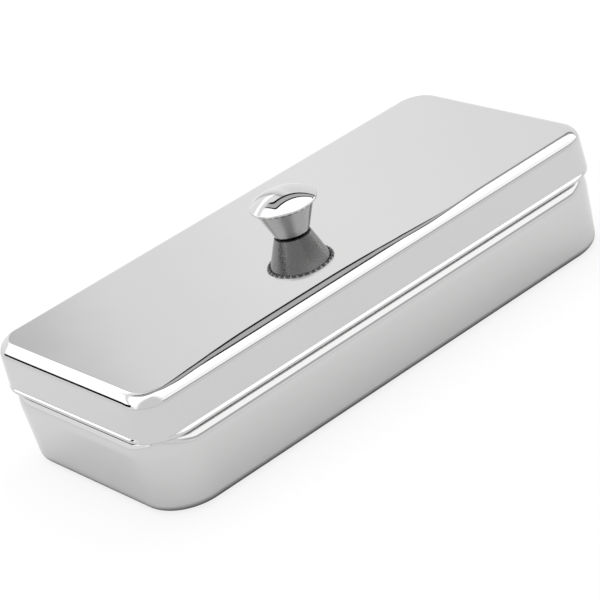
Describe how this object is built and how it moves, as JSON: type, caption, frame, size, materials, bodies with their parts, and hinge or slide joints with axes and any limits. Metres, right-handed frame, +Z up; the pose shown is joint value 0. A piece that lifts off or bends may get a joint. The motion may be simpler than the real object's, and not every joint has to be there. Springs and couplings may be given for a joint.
{
  "type": "lidded instrument box",
  "caption": "Long pressed steel instrument box: a rounded tray with a soft shoulder, and a lift-off lid with a deep skirt and a small domed knob.",
  "frame": {"origin": "middle of the underside, on the surface the box stands on", "axes": "+X along the box's length, +Y across it, +Z up through the knob"},
  "size_m": [0.2286, 0.106, 0.068],
  "materials": {
    "polished_steel": "mirror polished stainless steel",
    "rivet_steel": "plain stainless steel, as formed"
  },
  "bodies": {
    "tray": {"tray_body": "polished_steel"},
    "lid": {"lid_shell": "polished_steel", "knob_cup": "polished_steel", "knob_cap": "polished_steel", "knob_rivet": "rivet_steel", "rivet_washer": "rivet_steel"}
  },
  "joints": [
    {"name": "lid_lift", "type": "slide", "parent": "tray", "child": "lid", "axis": [0, 0, 1], "range_m": [0, 0.08]}
  ]
}
